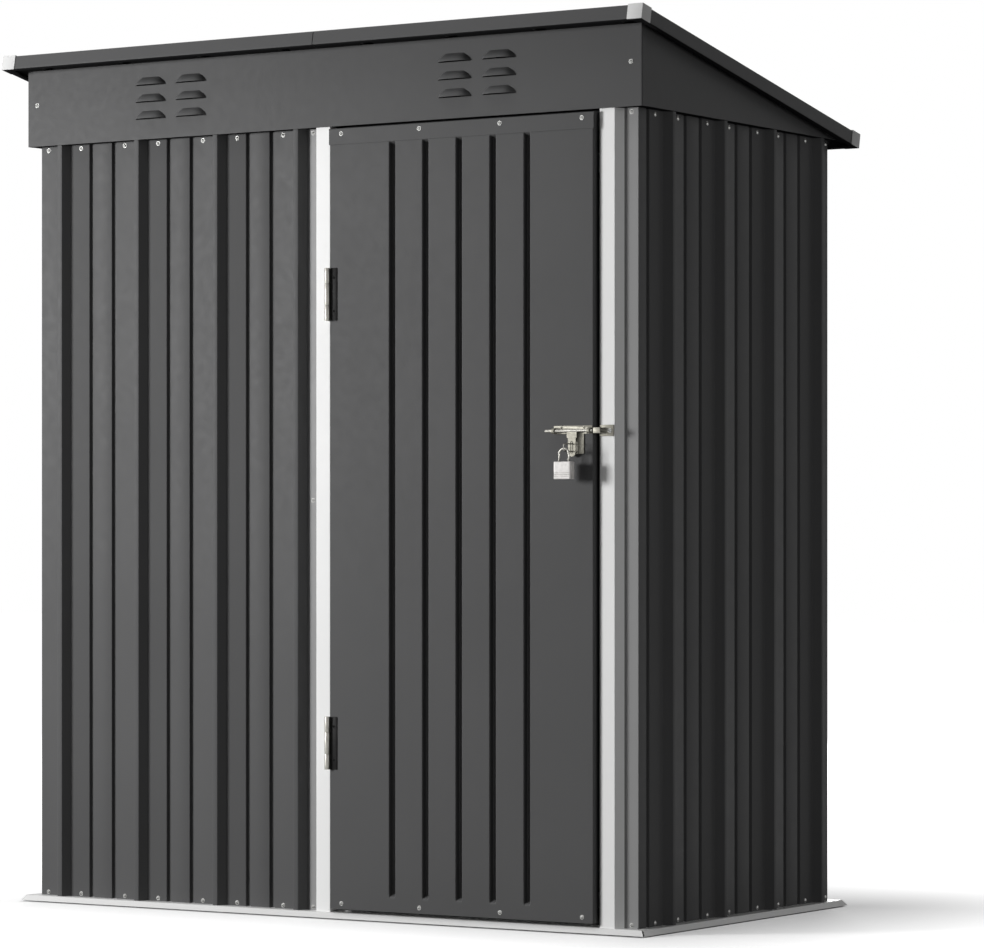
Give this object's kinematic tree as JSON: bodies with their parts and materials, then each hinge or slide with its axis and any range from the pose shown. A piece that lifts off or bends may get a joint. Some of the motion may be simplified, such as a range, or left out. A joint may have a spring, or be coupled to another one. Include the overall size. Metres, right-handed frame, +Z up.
{
  "type": "metal storage shed",
  "caption": "Small corrugated sheet-metal storage shed with a single-slope roof, louvred fascia, flared base rail and a hinged door with bolt and padlock.",
  "frame": {"origin": "on the ground, under the middle of the roof's outline", "axes": "+Z up, +X to the right when facing the door, -Y towards the front"},
  "size_m": [1.5826, 0.9032, 1.7998],
  "materials": {
    "grey_paint": "satin coil-coated paint",
    "white_paint": "satin white paint",
    "galvanised_steel": "galvanised",
    "zinc_hardware": "zinc plated",
    "padlock_case": "satin"
  },
  "bodies": {
    "shed": {"base_rail_front": "white_paint", "base_rail_right": "white_paint", "base_rail_back": "white_paint", "base_rail_left": "white_paint", "front_sheet": "grey_paint", "right_sheet": "grey_paint", "back_sheet_left": "grey_paint", "back_sheet_right": "grey_paint", "left_sheet": "grey_paint", "hinge_post": "white_paint", "latch_post": "white_paint", "corner_angle_front_left": "galvanised_steel", "corner_angle_back_left": "galvanised_steel", "corner_angle_back_right": "galvanised_steel", "top_rail_front": "galvanised_steel", "top_rail_right": "galvanised_steel", "top_rail_back": "galvanised_steel", "top_rail_left": "galvanised_steel", "fascia": "grey_paint", "gable_right": "grey_paint", "gable_left": "grey_paint", "roof_sheet_left": "grey_paint", "roof_sheet_right": "grey_paint", "roof_beam": "galvanised_steel", "roof_trim_front_left": "grey_paint", "roof_trim_front_right": "grey_paint", "roof_trim_back": "grey_paint", "roof_trim_left": "grey_paint", "roof_trim_right": "grey_paint", "roof_cap_front_left": "white_paint", "roof_cap_front_right": "white_paint", "roof_cap_back_left": "white_paint", "roof_cap_back_right": "white_paint", "upper_hinge_post_leaf": "zinc_hardware", "lower_hinge_post_leaf": "zinc_hardware", "bolt_keeper": "zinc_hardware"},
    "door": {"door_panel": "grey_paint", "door_cap": "grey_paint", "door_rail": "galvanised_steel", "upper_hinge_door_leaf": "zinc_hardware", "lower_hinge_door_leaf": "zinc_hardware", "bolt_plate": "zinc_hardware"},
    "bolt": {"bolt": "zinc_hardware", "padlock_body": "padlock_case", "padlock_shackle": "zinc_hardware"}
  },
  "joints": [
    {"name": "door_hinge", "type": "hinge", "parent": "shed", "child": "door", "pos_m": [0.02825, -0.41323, 0.357], "axis": [0, 0, -1], "range_deg": [0, 165]},
    {"name": "bolt_slide", "type": "slide", "parent": "door", "child": "bolt", "axis": [1, 0, 0], "range_m": [0, 0.02]}
  ]
}
